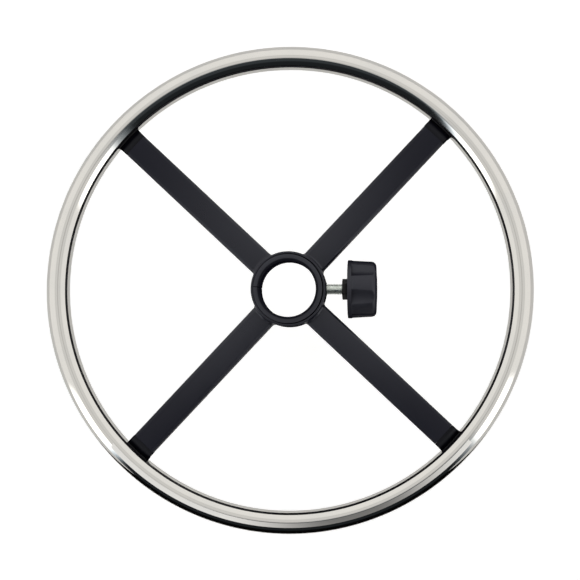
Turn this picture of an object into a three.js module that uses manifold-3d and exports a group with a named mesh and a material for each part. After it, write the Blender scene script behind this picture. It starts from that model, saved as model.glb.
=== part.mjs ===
// Foot ring for a drafting stool: a chromed tube ring on a black four-armed spider,
// clamped to the stool's round column by a hand screw.
//
// Millimetres, +Z up. The origin is the centre of the ring, on the axis of the column
// bore. The clamp screw lies along +X.

import * as THREE from 'three';
import { mergeVertices } from 'three/addons/utils/BufferGeometryUtils.js';
import Module from 'manifold-3d';

const wasm = await Module();
wasm.setup();

// ---------------------------------------------------------------- driving dimensions

const GAP = 0.3;                    // clearance between pieces that touch

const ringOuterDiameter = 457;      // an 18 inch ring
const tubeDiameter = 22;
const tubeWall = 1.5;

const armCount = 4;
const firstArmAngle = 46.75;        // degrees: the cross sits a little past 45
const armWidth = 24;
const armHeight = 15;
const armWall = 1.5;
const armCornerRadius = 3.5;

const saddleStart = 198;            // radius where the arm's tube ends and the saddle begins
const saddleNoseStart = 199.5;      // radius where the saddle's flat top begins to round down
const saddleNoseRadius = 8;
const saddleNoseTilt = 50;          // degrees down, where the nose meets the ring
const saddleLipHeight = 3.4;        // the saddle laps the ring tube up to this height
const saddleFootZ = -15;
const saddleFootWidth = 12;
const saddleFlare = 0.3;            // the saddle is this much wider than the arm each side
const saddleFlareStart = 201.5;
const saddleFlareLength = 4.5;
const plugLength = 12;

const rimScrewDiameter = 5;
const rimScrewHeadDiameter = 9.5;
const rimScrewHeadHeight = 2.7;
const rimScrewSocket = 3;           // across flats
const rimScrewSocketDepth = 1.5;
const rimScrewTipZ = -2.5;
const rivetNutRadius = 3.5;
const rivetNutTopZ = -1.5;
const rivetFlangeRadius = 5.3;
const rivetFlangeThickness = 1.1;

const collarOuterDiameter = 70;
const collarWall = 2;
const collarHalfHeight = 16.5;
const collarEdge = 0.9;             // chamfer on the outer edges

const bushBore = 52.3;              // takes a 50 mm column
const bushOuterDiameter = 64.6;
const bushOffset = -0.4;            // the screw holds the bush against the collar's far side
const bushLeadIn = 2.25;
const bushFlangeDiameter = 68;
const bushFlangeThickness = 2.5;
const bushSplitWidth = 0.6;
const bushSplitAngle = 176.5;       // degrees

const threadDiameter = 10;          // M10 x 1.5
const hexAcrossFlats = 17;
const padFace = 27.45;              // along X from the bore's axis
const padDiameter = 8;
const padThickness = 2.25;
const weldNutFace = 29.5;
const weldNutEnd = 35.4;
const weldNutPilotRadius = 6.5;
const weldNutFlangeRadius = 8.3;
const screwTip = 30;                // where the clamp screw's full thread ends
const screwNubRadius = 2;
const screwNubLength = 1.2;
const headOffset = 11.2;            // from the knob's back to the underside of the screw's head
const headThickness = 6.4;

const lockNutStart = 50;            // along X from the bore's axis
const lockNutThickness = 5;
const knobLength = 27;
const knobFlangeDiameter = 54.4;
const knobFlangeThickness = 4;
const knobGripRadius = 26.8;        // at the flange; the grip tapers outwards
const knobTaper = 1.0;
const knobCornerRadius = 4.5;
const scallopCount = 6;
const scallopRadius = 12;
const scallopDepth = 3.4;
const scallopPhase = 47.25;         // degrees from +Y towards +Z
const coreHubRadius = 12.5;
const coreWallRadius = 20.2;
const coreDepth = 13;
const ribThickness = 2;
const capRadius = 11.2;
const capSeatDepth = 3.6;
const capPlugRadius = 7.4;
const capPlugLength = 2.6;
const capCrown = 0.3;               // the cap's middle stands this far out of the knob

// ---------------------------------------------------------------- derived dimensions

const tubeRadius = tubeDiameter / 2;
const ringRadius = (ringOuterDiameter - tubeDiameter) / 2;
const collarRadius = collarOuterDiameter / 2;
const collarBoreRadius = collarRadius - collarWall;
const bushBoreRadius = bushBore / 2;
const bushRadius = bushOuterDiameter / 2;
const threadRadius = threadDiameter / 2;
const threadHoleRadius = threadRadius + GAP;
const knobStart = lockNutStart + lockNutThickness + GAP;
const knobEnd = knobStart + knobLength;
const headStart = knobStart + headOffset;
const capSeat = knobEnd - capSeatDepth;

// ---------------------------------------------------------------- materials

const finishes = {
  chrome: { color: 0xd8d8d6, roughness: 0.08, metalness: 1.0 },
  blackPowderCoat: { color: 0x2b2b31, roughness: 0.42, metalness: 0.0 },
  blackNylon: { color: 0x1e1e22, roughness: 0.5, metalness: 0.0 },
  greyNylon: { color: 0x3a3a40, roughness: 0.55, metalness: 0.0 },
  knobPlastic: { color: 0x35363c, roughness: 0.55, metalness: 0.0 },
  zincPlate: { color: 0xc4c8c6, roughness: 0.3, metalness: 1.0 },
  blackSteel: { color: 0x18181a, roughness: 0.45, metalness: 0.6 },
  brass: { color: 0xb79a58, roughness: 0.35, metalness: 1.0 },
};

function piece(name, geometry, finish) {
  const mesh = new THREE.Mesh(geometry, new THREE.MeshStandardMaterial(finishes[finish]));
  mesh.name = name;
  return mesh;
}

// ---------------------------------------------------------------- solid helpers

function radians(degrees) {
  return degrees * Math.PI / 180;
}

// A closed three.js geometry as a solid that can be joined and cut.
function solid(geometry) {
  geometry.deleteAttribute('normal');
  geometry.deleteAttribute('uv');
  const merged = mergeVertices(geometry, 1e-4);
  const index = merged.index.array;
  const triangles = [];
  for (let i = 0; i < index.length; i += 3) {
    const [a, b, c] = [index[i], index[i + 1], index[i + 2]];
    if (a !== b && b !== c && c !== a) {
      triangles.push(a, b, c);
    }
  }
  return new wasm.Manifold(new wasm.Mesh({
    numProp: 3,
    vertProperties: new Float32Array(merged.attributes.position.array),
    triVerts: new Uint32Array(triangles),
  }));
}

function geometryOf(manifold) {
  const mesh = manifold.getMesh();
  const geometry = new THREE.BufferGeometry();
  geometry.setAttribute('position', new THREE.BufferAttribute(mesh.vertProperties, 3));
  geometry.setIndex(new THREE.BufferAttribute(mesh.triVerts, 1));
  geometry.computeVertexNormals();
  return geometry;
}

// Turns a profile of [radius, height] points about Z.
function latheZ(profile, segments) {
  const points = profile.map(([r, z]) => new THREE.Vector2(r, z));
  return solid(new THREE.LatheGeometry(points, segments).rotateX(Math.PI / 2));
}

// Turns a profile of [x, radius] points about X.
function latheX(profile, segments) {
  const points = profile.map(([x, r]) => new THREE.Vector2(r, x));
  return solid(new THREE.LatheGeometry(points, segments).rotateZ(-Math.PI / 2));
}

function rodX(radius, x0, x1, segments = 24) {
  return latheX([[x0, 0], [x0, radius], [x1, radius], [x1, 0]], segments);
}

function rodZ(radius, z0, z1, segments = 24) {
  return latheZ([[0, z0], [radius, z0], [radius, z1], [0, z1]], segments);
}

function extrusion(shape, depth, curveSegments) {
  return new THREE.ExtrudeGeometry(shape, { depth, bevelEnabled: false, curveSegments });
}

// Extrudes a shape drawn in Y and Z along X, from x0 to x1.
function extrudeX(shape, x0, x1, curveSegments = 6) {
  const geometry = extrusion(shape, x1 - x0, curveSegments);
  const axes = new THREE.Matrix4().makeBasis(
    new THREE.Vector3(0, 1, 0), new THREE.Vector3(0, 0, 1), new THREE.Vector3(1, 0, 0));
  return solid(geometry.applyMatrix4(axes).translate(x0, 0, 0));
}

// Extrudes a plan drawn in X and Y along Z, from z0 to z1.
function extrudeZ(shape, z0, z1, curveSegments = 6) {
  return solid(extrusion(shape, z1 - z0, curveSegments).translate(0, 0, z0));
}

function roundedRectangle(width, height, radius) {
  const w = width / 2;
  const h = height / 2;
  const shape = new THREE.Shape();
  shape.moveTo(-w + radius, -h);
  shape.lineTo(w - radius, -h);
  shape.absarc(w - radius, -h + radius, radius, -Math.PI / 2, 0);
  shape.lineTo(w, h - radius);
  shape.absarc(w - radius, h - radius, radius, 0, Math.PI / 2);
  shape.lineTo(-w + radius, h);
  shape.absarc(-w + radius, h - radius, radius, Math.PI / 2, Math.PI);
  shape.lineTo(-w, -h + radius);
  shape.absarc(-w + radius, -h + radius, radius, Math.PI, 1.5 * Math.PI);
  return shape;
}

function hexagon(acrossFlats) {
  const shape = new THREE.Shape();
  for (let corner = 0; corner < 6; corner += 1) {
    const angle = radians(60 * corner);
    const radius = acrossFlats / Math.sqrt(3);
    const point = [radius * Math.cos(angle), radius * Math.sin(angle)];
    if (corner === 0) {
      shape.moveTo(...point);
    } else {
      shape.lineTo(...point);
    }
  }
  shape.closePath();
  return shape;
}

// Points on an arc, as [x, y] pairs, angles in degrees.
function arc(cx, cy, radius, from, to, steps) {
  const points = [];
  for (let step = 0; step <= steps; step += 1) {
    const angle = radians(from + (to - from) * step / steps);
    points.push([cx + radius * Math.cos(angle), cy + radius * Math.sin(angle)]);
  }
  return points;
}

// ---------------------------------------------------------------- ring

// The chromed ring is hollow, with a hole underneath for each rivet nut.
function ringTube() {
  const around = 72;
  let tube = solid(new THREE.TorusGeometry(ringRadius, tubeRadius, 12, around))
    .subtract(solid(new THREE.TorusGeometry(ringRadius, tubeRadius - tubeWall, 8, around)));
  for (let arm = 0; arm < armCount; arm += 1) {
    const angle = radians(armAngle(arm));
    const hole = rodZ(rivetNutRadius + GAP, -tubeRadius - 1, -tubeRadius / 2, 16)
      .translate([ringRadius * Math.cos(angle), ringRadius * Math.sin(angle), 0]);
    tube = tube.subtract(hole);
  }
  return geometryOf(tube);
}

function armAngle(arm) {
  return firstArmAngle + 360 / armCount * arm;
}

// ---------------------------------------------------------------- arms
// Each arm is modelled lying along +X and turned into place by its group.

// Rectangular tube with rounded corners, coped at the hub to butt against the collar.
function armTube() {
  const section = roundedRectangle(armWidth, armHeight, armCornerRadius);
  section.holes.push(roundedRectangle(
    armWidth - 2 * armWall, armHeight - 2 * armWall, armCornerRadius - armWall));
  const cope = rodZ(collarRadius + GAP, -armHeight, armHeight, 64);
  return geometryOf(extrudeX(section, collarRadius - 3, saddleStart, 4).subtract(cope));
}

// Outline of the saddle in radius and height: a rounded nose goes down from the arm's top
// to the ring tube, a cradle wraps the tube's inner side, and a flat foot lies underneath.
function saddleProfile() {
  const seat = tubeRadius + GAP;
  const lipAngle = 180 - Math.asin(saddleLipHeight / seat) * 180 / Math.PI;
  const lipR = ringRadius + seat * Math.cos(radians(lipAngle));
  const top = armHeight / 2;
  const footOuter = ringRadius + saddleFootWidth / 2;
  const footTopAngle = 360 - Math.acos(saddleFootWidth / 2 / seat) * 180 / Math.PI;
  return [
    [saddleStart - 1, -top],
    ...arc(ringRadius - saddleFootWidth / 2, -top, -saddleFootZ - top, 180, 270, 4),
    [footOuter, saddleFootZ],
    ...arc(ringRadius, 0, seat, footTopAngle, lipAngle, 11),
    ...arc(saddleNoseStart, top - saddleNoseRadius, saddleNoseRadius, 90 - saddleNoseTilt, 90, 5),
    [saddleStart - 1, top],
    [saddleStart - 1, -top],
  ];
}

// Plan of the saddle: as wide as the arm, flaring where it meets the ring.
function saddlePlan() {
  const half = armWidth / 2;
  const wide = half + saddleFlare;
  const flareEnd = saddleFlareStart + saddleFlareLength;
  const bend = saddleFlareStart + 0.8 * saddleFlareLength;
  const end = ringRadius + tubeRadius;
  const plan = new THREE.Shape();
  plan.moveTo(saddleStart + GAP, -half);
  plan.lineTo(saddleFlareStart, -half);
  plan.quadraticCurveTo(bend, -half, flareEnd, -wide);
  plan.lineTo(end, -wide);
  plan.lineTo(end, wide);
  plan.lineTo(flareEnd, wide);
  plan.quadraticCurveTo(bend, half, saddleFlareStart, half);
  plan.lineTo(saddleStart + GAP, half);
  plan.closePath();
  return plan;
}

// Moulded saddle: a plug fills the arm's open end, and the ring lies in its cradle.
function rimSaddle() {
  const body = latheZ(saddleProfile(), 144)
    .intersect(extrudeZ(saddlePlan(), -2 * armHeight, 2 * armHeight));
  const inset = armWall + GAP;
  const plugSection = roundedRectangle(
    armWidth - 2 * inset, armHeight - 2 * inset, armCornerRadius - inset);
  const plug = extrudeX(plugSection, saddleStart - plugLength, saddleStart + 2);
  const screwHole = rodZ(rimScrewDiameter / 2 + GAP, saddleFootZ - 1, 0, 16);
  const flangeSeatZ = -tubeRadius - rivetFlangeThickness - 2 * GAP;
  const flangeSeat = rodZ(rivetFlangeRadius + GAP, flangeSeatZ, 0, 16);
  return geometryOf(body.add(plug)
    .subtract(screwHole.translate([ringRadius, 0, 0]))
    .subtract(flangeSeat.translate([ringRadius, 0, 0])));
}

// Button-head screw that comes up through the saddle's foot.
function rimScrew() {
  const seat = saddleFootZ - GAP;
  const crown = seat - rimScrewHeadHeight;
  const headRadius = rimScrewHeadDiameter / 2;
  const shank = rimScrewDiameter / 2;
  const chamfer = 0.7;
  const screw = latheZ([
    [0, crown],
    [headRadius * 0.5, crown],
    [headRadius * 0.85, seat - rimScrewHeadHeight * 0.7],
    [headRadius, seat - rimScrewHeadHeight * 0.2],
    [headRadius, seat],
    [shank, seat],
    [shank, rimScrewTipZ - chamfer],
    [shank - chamfer, rimScrewTipZ],
    [0, rimScrewTipZ],
  ], 16);
  const socket = extrudeZ(hexagon(rimScrewSocket), crown - 1, crown + rimScrewSocketDepth);
  return geometryOf(screw.subtract(socket));
}

// Rivet nut set in the underside of the ring tube.
function rimRivetNut() {
  const bore = rimScrewDiameter / 2 + GAP;
  const flangeTop = -tubeRadius - GAP;
  const flangeBottom = flangeTop - rivetFlangeThickness;
  return geometryOf(latheZ([
    [bore, flangeBottom],
    [rivetFlangeRadius, flangeBottom],
    [rivetFlangeRadius, flangeTop],
    [rivetNutRadius, flangeTop],
    [rivetNutRadius, rivetNutTopZ],
    [bore, rivetNutTopZ],
    [bore, flangeBottom],
  ], 16));
}

// ---------------------------------------------------------------- hub

// A hole along X through the hub's wall on the clamp screw's side.
function wallHole(radius) {
  return rodX(radius, bushBoreRadius / 2, collarRadius + 5);
}

function hubCollar() {
  const ring = latheZ([
    [collarBoreRadius, -collarHalfHeight],
    [collarRadius - collarEdge, -collarHalfHeight],
    [collarRadius, -collarHalfHeight + collarEdge],
    [collarRadius, collarHalfHeight - collarEdge],
    [collarRadius - collarEdge, collarHalfHeight],
    [collarBoreRadius, collarHalfHeight],
    [collarBoreRadius, -collarHalfHeight],
  ], 64);
  return geometryOf(ring.subtract(wallHole(weldNutPilotRadius + GAP)));
}

// Weld nut: its pilot fills a hole in the collar, and its flange follows the collar's bore.
function clampWeldNut() {
  const flange = rodX(weldNutFlangeRadius, weldNutFace, collarRadius)
    .intersect(rodZ(collarBoreRadius - GAP, -collarHalfHeight, collarHalfHeight, 64));
  const pilot = rodX(weldNutPilotRadius, weldNutFace + 0.5, weldNutEnd);
  return geometryOf(flange.add(pilot).subtract(wallHole(threadHoleRadius)));
}

// Split bush between the collar and the column. A flange carries the collar from below,
// and a pocket in its side holds the weld nut and leaves a thin web for the thrust pad.
function columnBush() {
  const top = collarHalfHeight;
  const flangeTop = -collarHalfHeight - GAP;
  const bottom = flangeTop - bushFlangeThickness;
  const flangeRadius = bushFlangeDiameter / 2;
  const body = latheZ([
    [bushBoreRadius, bottom + 0.8],
    [bushBoreRadius + 0.8, bottom],
    [flangeRadius - 0.6, bottom],
    [flangeRadius, bottom + 0.6],
    [flangeRadius, flangeTop],
    [bushRadius, flangeTop],
    [bushRadius, top - 0.5],
    [bushRadius - 0.5, top],
    [bushBoreRadius + bushLeadIn, top],
    [bushBoreRadius, top - bushLeadIn],
    [bushBoreRadius, bottom + 0.8],
  ], 64).translate([bushOffset, 0, 0]);
  const saw = new THREE.BoxGeometry(20, bushSplitWidth, 4 * top).translate(bushRadius, 0, 0);
  const split = solid(saw).rotate([0, 0, bushSplitAngle]);
  const nutPocket = rodX(weldNutFlangeRadius + GAP, weldNutFace - GAP, collarRadius);
  const padPocket = rodX(padDiameter / 2 + 2 * GAP, padFace - GAP, collarRadius, 16);
  return geometryOf(body.subtract(split).subtract(nutPocket).subtract(padPocket));
}

// ---------------------------------------------------------------- clamp screw

// Thrust pad: swivels on the screw's tip and presses the bush's web onto the column.
function thrustPad() {
  const r = padDiameter / 2;
  const back = padFace + padThickness;
  const socketFloor = screwTip - screwNubLength - GAP;
  return geometryOf(latheX([
    [padFace, 0],
    [padFace, r - 0.4],
    [padFace + 0.4, r],
    [back, r],
    [back, screwNubRadius + GAP],
    [socketFloor, screwNubRadius + GAP],
    [socketFloor, 0],
  ], 16));
}

function hexPrismX(acrossFlats, x0, x1) {
  const cornerRadius = acrossFlats / Math.sqrt(3);
  const chamfer = latheX([
    [x0, 0],
    [x0, cornerRadius * 0.93],
    [x0 + cornerRadius * 0.05, cornerRadius * 1.01],
    [x1 - cornerRadius * 0.05, cornerRadius * 1.01],
    [x1, cornerRadius * 0.93],
    [x1, 0],
  ], 36);
  return extrudeX(hexagon(acrossFlats), x0, x1).intersect(chamfer);
}

// Hexagon-head screw. Its head sits in the knob and its turned-down tip in the pad.
function clampScrew() {
  const shank = latheX([
    [screwTip - screwNubLength, 0],
    [screwTip - screwNubLength, screwNubRadius],
    [screwTip, screwNubRadius],
    [screwTip, threadRadius - 1],
    [screwTip + 1, threadRadius],
    [headStart + 1, threadRadius],
    [headStart + 1, 0],
  ], 24);
  return geometryOf(shank.add(hexPrismX(hexAcrossFlats, headStart, headStart + headThickness)));
}

function lockNut() {
  const end = lockNutStart + lockNutThickness;
  const nut = hexPrismX(hexAcrossFlats, lockNutStart, end);
  return geometryOf(nut.subtract(rodX(threadHoleRadius, lockNutStart - 1, end + 1)));
}

// ---------------------------------------------------------------- knob

// Outline of the knob before its scallops are cut: a flange, a tapered grip with a
// rounded outer corner, and a slightly domed end.
function knobOutline() {
  const flangeRadius = knobFlangeDiameter / 2;
  const endRadius = knobGripRadius - knobTaper;
  const cornerX = knobEnd - 0.5 - knobCornerRadius;
  return [
    [knobStart, 0],
    [knobStart, flangeRadius - 0.6],
    [knobStart + 0.6, flangeRadius],
    [knobStart + knobFlangeThickness - 0.3, flangeRadius],
    [knobStart + knobFlangeThickness, knobGripRadius],
    ...arc(cornerX, endRadius - knobCornerRadius, knobCornerRadius, 90, 12, 4),
    [knobEnd, capRadius + 1.5],
    [knobEnd, 0],
  ];
}

function knobScallops() {
  const centreDistance = knobGripRadius - knobTaper / 2 - scallopDepth + scallopRadius;
  const cutters = [];
  for (let scallop = 0; scallop < scallopCount; scallop += 1) {
    const angle = radians(scallopPhase + 360 / scallopCount * scallop);
    cutters.push(rodX(scallopRadius, knobStart + knobFlangeThickness + 0.2, knobEnd + 5, 36)
      .translate([0, centreDistance * Math.cos(angle), centreDistance * Math.sin(angle)]));
  }
  return cutters;
}

// The back of the knob is cored out, leaving a hub and six ribs.
function knobCore() {
  const coreTurn = 3; // keeps the facets' corners from lining up with the outline's
  const draft = 0.4;
  let core = latheX([
    [knobStart - 1, coreHubRadius],
    [knobStart + coreDepth, coreHubRadius],
    [knobStart + coreDepth, coreWallRadius - draft],
    [knobStart - 1, coreWallRadius],
    [knobStart - 1, coreHubRadius],
  ], 36).rotate([coreTurn, 0, 0]);
  for (let rib = 0; rib < scallopCount / 2; rib += 1) {
    const angle = radians(scallopPhase + 360 / scallopCount * rib);
    const bar = new THREE.BoxGeometry(2 * knobLength, knobFlangeDiameter, ribThickness);
    core = core.subtract(solid(bar.rotateX(angle).translate(knobStart, 0, 0)));
  }
  return core;
}

function knobBody() {
  let body = latheX(knobOutline(), 60);
  for (const cutter of knobScallops()) {
    body = body.subtract(cutter);
  }
  const headPocket = extrudeX(hexagon(hexAcrossFlats + 2 * GAP), headStart - GAP, knobEnd + 5);
  const capRecess = rodX(capRadius + GAP, capSeat, knobEnd + 5, 30);
  const screwHole = rodX(threadHoleRadius, knobStart - 5, headStart + 1);
  return geometryOf(
    body.subtract(knobCore()).subtract(headPocket).subtract(capRecess).subtract(screwHole));
}

// Push-in cap over the screw's head.
function knobCap() {
  const seat = capSeat + GAP;
  return geometryOf(latheX([
    [seat - capPlugLength, 0],
    [seat - capPlugLength, capPlugRadius],
    [seat, capPlugRadius + 0.6],
    [seat, capRadius - 0.3],
    [knobEnd - 0.5, capRadius],
    [knobEnd, capRadius - 1.4],
    [knobEnd + capCrown - 0.1, capRadius * 0.5],
    [knobEnd + capCrown, 0],
  ], 30));
}

// ---------------------------------------------------------------- assembly

const footRing = new THREE.Group();

footRing.add(piece('rim_tube', ringTube(), 'chrome'));

for (let arm = 0; arm < armCount; arm += 1) {
  const number = arm + 1;
  const group = new THREE.Group();
  group.rotation.z = radians(armAngle(arm));
  group.add(piece(`arm_${number}`, armTube(), 'blackPowderCoat'));
  group.add(piece(`rim_saddle_${number}`, rimSaddle(), 'blackNylon'));
  const rivetNut = piece(`rim_rivet_nut_${number}`, rimRivetNut(), 'zincPlate');
  rivetNut.position.x = ringRadius;
  group.add(rivetNut);
  const screw = piece(`rim_screw_${number}`, rimScrew(), 'blackSteel');
  screw.position.x = ringRadius;
  group.add(screw);
  footRing.add(group);
}

footRing.add(piece('hub_collar', hubCollar(), 'blackPowderCoat'));
footRing.add(piece('clamp_weld_nut', clampWeldNut(), 'blackPowderCoat'));
footRing.add(piece('column_bush', columnBush(), 'greyNylon'));
footRing.add(piece('thrust_pad', thrustPad(), 'brass'));
footRing.add(piece('clamp_screw', clampScrew(), 'zincPlate'));
footRing.add(piece('lock_nut', lockNut(), 'blackSteel'));
footRing.add(piece('knob_body', knobBody(), 'knobPlastic'));
footRing.add(piece('knob_cap', knobCap(), 'knobPlastic'));

export default footRing;
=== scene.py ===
"""Drafting stool foot ring: the detailed visual model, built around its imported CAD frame.

The frame's own coordinates are used throughout: the origin is the centre of the ring on the
axis of the column bore, +Z is up and the clamp screw lies along +X. Sizes named here are in
millimetres and become metres when a mesh is made; sizes read from the frame are turned into
millimetres as they are read.
"""

import math

import bmesh
import bpy
from mathutils import Matrix, Vector


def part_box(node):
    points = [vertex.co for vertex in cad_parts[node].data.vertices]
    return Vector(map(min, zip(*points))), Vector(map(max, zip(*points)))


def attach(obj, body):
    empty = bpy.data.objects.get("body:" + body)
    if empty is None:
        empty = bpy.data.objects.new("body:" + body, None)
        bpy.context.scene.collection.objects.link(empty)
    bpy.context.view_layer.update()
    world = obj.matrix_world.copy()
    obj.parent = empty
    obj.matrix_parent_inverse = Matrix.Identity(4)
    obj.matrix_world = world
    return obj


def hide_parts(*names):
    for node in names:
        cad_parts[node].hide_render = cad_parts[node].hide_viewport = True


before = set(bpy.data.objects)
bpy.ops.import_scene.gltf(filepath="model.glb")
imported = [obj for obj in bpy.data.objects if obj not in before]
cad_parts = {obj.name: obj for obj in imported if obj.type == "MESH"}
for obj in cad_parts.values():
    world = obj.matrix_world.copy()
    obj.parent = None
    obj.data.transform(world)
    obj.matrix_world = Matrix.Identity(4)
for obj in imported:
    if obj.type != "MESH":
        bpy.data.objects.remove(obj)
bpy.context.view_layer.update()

MM = 0.001


# ------------------------------------------------------------------ sizes from the frame


def node_box(node):
    """Lowest and highest corner of a CAD node, in millimetres."""
    low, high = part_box(node)
    return low / MM, high / MM


ring_low, ring_high = node_box("rim_tube")
tube_radius = (ring_high.z - ring_low.z) / 2
ring_radius = (ring_high.x - ring_low.x) / 2 - tube_radius

arm_low, arm_high = node_box("arm_1")
arm_centre = (arm_low + arm_high) / 2
first_arm_angle = math.atan2(arm_centre.y, arm_centre.x)
arm_top = arm_high.z

saddle_low, _ = node_box("rim_saddle_1")
saddle_foot = saddle_low.z

collar_low, collar_high = node_box("hub_collar")
collar_radius = (collar_high.x - collar_low.x) / 2
collar_top = collar_high.z

bush_low, bush_high = node_box("column_bush")
bush_centre = (bush_low.x + bush_high.x) / 2
bush_flange_radius = (bush_high.x - bush_low.x) / 2

weld_nut_low, weld_nut_high = node_box("clamp_weld_nut")
pad_low, pad_high = node_box("thrust_pad")
screw_low, screw_high = node_box("clamp_screw")
lock_nut_low, lock_nut_high = node_box("lock_nut")
knob_low, knob_high = node_box("knob_body")
knob_start, knob_end = knob_low.x, knob_high.x
cap_low, cap_high = node_box("knob_cap")

# ------------------------------------------------------------------ sizes the boxes don't give

GAP = 0.3  # clearance between pieces that touch

ARM_COUNT = 4
ARM_WIDTH = 24.0
ARM_WALL = 1.5
ARM_CORNER = 3.5
ARM_END_CHAMFER = 0.12
ARM_END = 198.0  # radius where the arm's tube ends and the saddle begins
JOINT_GAP = 0.06  # between the tube's end and the saddle's shoulder
WELD_SIZE = 2.8  # leg of the fillet between an arm and the collar
WELD_ROOT = 0.4  # how far the fillet's hidden side lies inside the arm and the collar
WELD_RIPPLE = 1.6  # spacing of the ripples along the weld

TUBE_WALL = 1.5
SADDLE_NOSE_RADIUS = 8.0
SADDLE_NOSE_TILT = 50.0  # degrees down, where the nose meets the ring
SADDLE_NOSE_START = 199.5
SADDLE_LIP_HEIGHT = 3.4
SADDLE_FOOT_WIDTH = 12.0
SADDLE_EDGE_RADIUS = 1.6
SADDLE_FLARE = 0.3
SADDLE_FLARE_LENGTH = 4.5
PLUG_LENGTH = 12.0
RIM_SCREW_DIAMETER = 5.0
RIM_SCREW_HEAD_DIAMETER = 9.5
RIM_SCREW_HEAD_HEIGHT = 2.7
RIM_SCREW_TIP = -2.5
RIM_SCREW_SOCKET = 3.0
RIM_SCREW_SOCKET_DEPTH = 1.5
RIVET_NUT_RADIUS = 3.5
RIVET_FLANGE_RADIUS = 5.3
RIVET_FLANGE_THICKNESS = 1.1
RIVET_NUT_TOP = -1.5

COLLAR_WALL = 2.0
COLLAR_EDGE_RADIUS = 0.8
BUSH_BORE_RADIUS = 26.15
BUSH_RADIUS = 32.3
BUSH_LEAD_IN = 2.25
BUSH_SPLIT_WIDTH = 0.6
BUSH_SPLIT_ANGLE = 176.5
WELD_NUT_PILOT_RADIUS = 6.5
WELD_NUT_FLANGE_RADIUS = 8.3

THREAD_RADIUS = 5.0
THREAD_PITCH = 1.5
THREAD_DEPTH = 0.55
SCREW_NUB_RADIUS = 2.0
SCREW_NUB_LENGTH = 1.2
HEX_ACROSS_FLATS = 17.0
HEAD_THICKNESS = 6.4

KNOB_FLANGE_THICKNESS = 4.0
KNOB_FLANGE_RADIUS = 27.2
KNOB_GRIP_RADIUS = 26.8
KNOB_TAPER = 1.0
KNOB_CORNER = 4.5
KNOB_END_CROWN = 0.5
SCALLOP_COUNT = 6
SCALLOP_RADIUS = 14.0
SCALLOP_DEPTH = 2.5
SCALLOP_PHASE = 49.0  # degrees from +Y towards +Z
SCALLOP_EDGE = 0.5  # width over which a scallop's edge is rounded
CORE_HUB_RADIUS = 12.5
CORE_WALL_RADIUS = 20.2
CORE_DEPTH = 13.0
RIB_THICKNESS = 2.0
CAP_RADIUS = 11.2
CAP_PLUG_RADIUS = 7.4
CAP_SEAT_DEPTH = 3.6
CAP_RIM_DEPTH = 0.5  # how far inside the knob's end the cap's rim lies

collar_bore_radius = collar_radius - COLLAR_WALL
thread_hole_radius = THREAD_RADIUS + GAP


# ------------------------------------------------------------------ outlines


def arc(centre, radius, start, end, steps):
    """Points on an arc round centre, angles in degrees."""
    points = []
    for step in range(steps + 1):
        angle = math.radians(start + (end - start) * step / steps)
        points.append((centre[0] + radius * math.cos(angle), centre[1] + radius * math.sin(angle)))
    return points


def rounded(corners, steps=4):
    """A closed outline whose corners, each (a, b, radius), are rounded off."""
    points = []
    count = len(corners)
    for i, (a, b, radius) in enumerate(corners):
        corner = Vector((a, b))
        if radius == 0:
            points.append(tuple(corner))
            continue
        before = (Vector(corners[i - 1][:2]) - corner).normalized()
        after = (Vector(corners[(i + 1) % count][:2]) - corner).normalized()
        half = before.angle(after) / 2
        centre = corner + (before + after).normalized() * (radius / math.sin(half))
        start = corner + before * (radius / math.tan(half)) - centre
        end = corner + after * (radius / math.tan(half)) - centre
        turn = start.angle_signed(end)
        for step in range(steps + 1):
            spoke = Matrix.Rotation(-turn * step / steps, 2) @ start
            points.append(tuple(centre + spoke))
    return points


def rounded_rectangle(width, height, radius, steps=6):
    w, h = width / 2, height / 2
    corners = [(w, -h, radius), (w, h, radius), (-w, h, radius), (-w, -h, radius)]
    return rounded(corners, steps)


def hexagon(across_flats):
    radius = across_flats / math.sqrt(3)
    return [
        (radius * math.cos(math.radians(60 * i)), radius * math.sin(math.radians(60 * i)))
        for i in range(6)
    ]


# ------------------------------------------------------------------ meshes


def mesh_object(name, bm, smooth_angle=32):
    """An object from a bmesh drawn in millimetres, smooth except across sharp edges."""
    bmesh.ops.recalc_face_normals(bm, faces=bm.faces)
    mesh = bpy.data.meshes.new(name)
    bm.to_mesh(mesh)
    bm.free()
    mesh.transform(Matrix.Scale(MM, 4))
    obj = bpy.data.objects.new(name, mesh)
    bpy.context.scene.collection.objects.link(obj)
    shade(obj, smooth_angle)
    return obj


def shade(obj, smooth_angle=32):
    obj.data.shade_smooth()
    obj.data.set_sharp_from_angle(angle=math.radians(smooth_angle))


def loft(name, rings, closed=False, caps=True):
    """Skins a row of equal rings of points; closed joins the last ring to the first."""
    bm = bmesh.new()
    rows = [[bm.verts.new(point) for point in ring] for ring in rings]
    pairs = list(zip(rows, rows[1:]))
    if closed:
        pairs.append((rows[-1], rows[0]))
    for row, following in pairs:
        for i in range(len(row)):
            j = (i + 1) % len(row)
            bm.faces.new((row[i], row[j], following[j], following[i]))
    if caps and not closed:
        bm.faces.new(list(reversed(rows[0])))
        bm.faces.new(rows[-1])
    return mesh_object(name, bm)


def turned(name, profile, segments, axis="Z"):
    """A profile of (place along the axis, radius) turned about it; open ends lie on the axis."""
    bm = bmesh.new()
    rows = []
    for along, radius in profile:
        if radius < 1e-6:
            rows.append([bm.verts.new(on_axis(along, 0, 0, axis))])
            continue
        row = []
        for step in range(segments):
            angle = 2 * math.pi * step / segments
            row.append(bm.verts.new(on_axis(along, radius, angle, axis)))
        rows.append(row)
    pairs = list(zip(rows, rows[1:]))
    if len(rows[0]) > 1:
        pairs.append((rows[-1], rows[0]))
    for row, following in pairs:
        join_rows(bm, row, following)
    return mesh_object(name, bm)


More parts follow.
